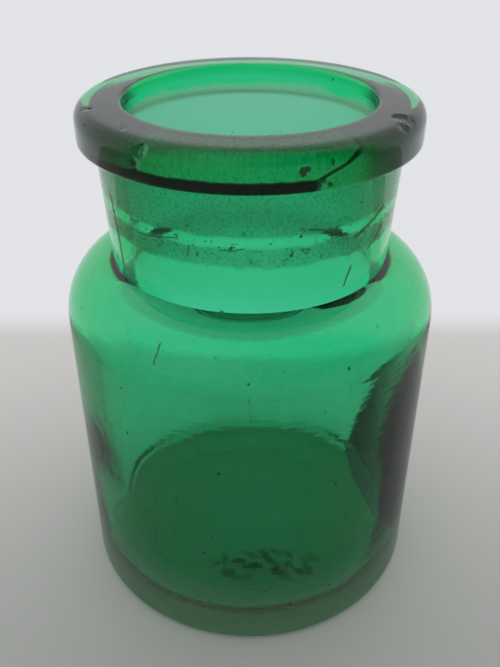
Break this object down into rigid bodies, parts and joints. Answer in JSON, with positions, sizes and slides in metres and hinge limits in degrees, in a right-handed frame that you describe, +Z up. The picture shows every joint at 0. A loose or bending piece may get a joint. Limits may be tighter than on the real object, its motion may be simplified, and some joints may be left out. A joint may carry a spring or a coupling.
{
  "type": "prescription vial",
  "caption": "Squat green glass vial: straight round body, short shoulder and neck, and a thick flanged lip laid on round a wide open mouth for a cork.",
  "frame": {"origin": "centre of the foot, on the surface that the vial stands on", "axes": "+Z up along the vial's axis, towards the mouth; the vial is round, so X and Y are free"},
  "size_m": [0.045, 0.045, 0.0635],
  "materials": {
    "body_glass": "clear green blown glass with fine scratches, seed bubbles and dried residue",
    "lip_glass": "clear green tooled glass with small chips along its edges"
  },
  "bodies": {
    "root": {"blown_body": "body_glass", "applied_lip": "lip_glass"}
  },
  "joints": []
}
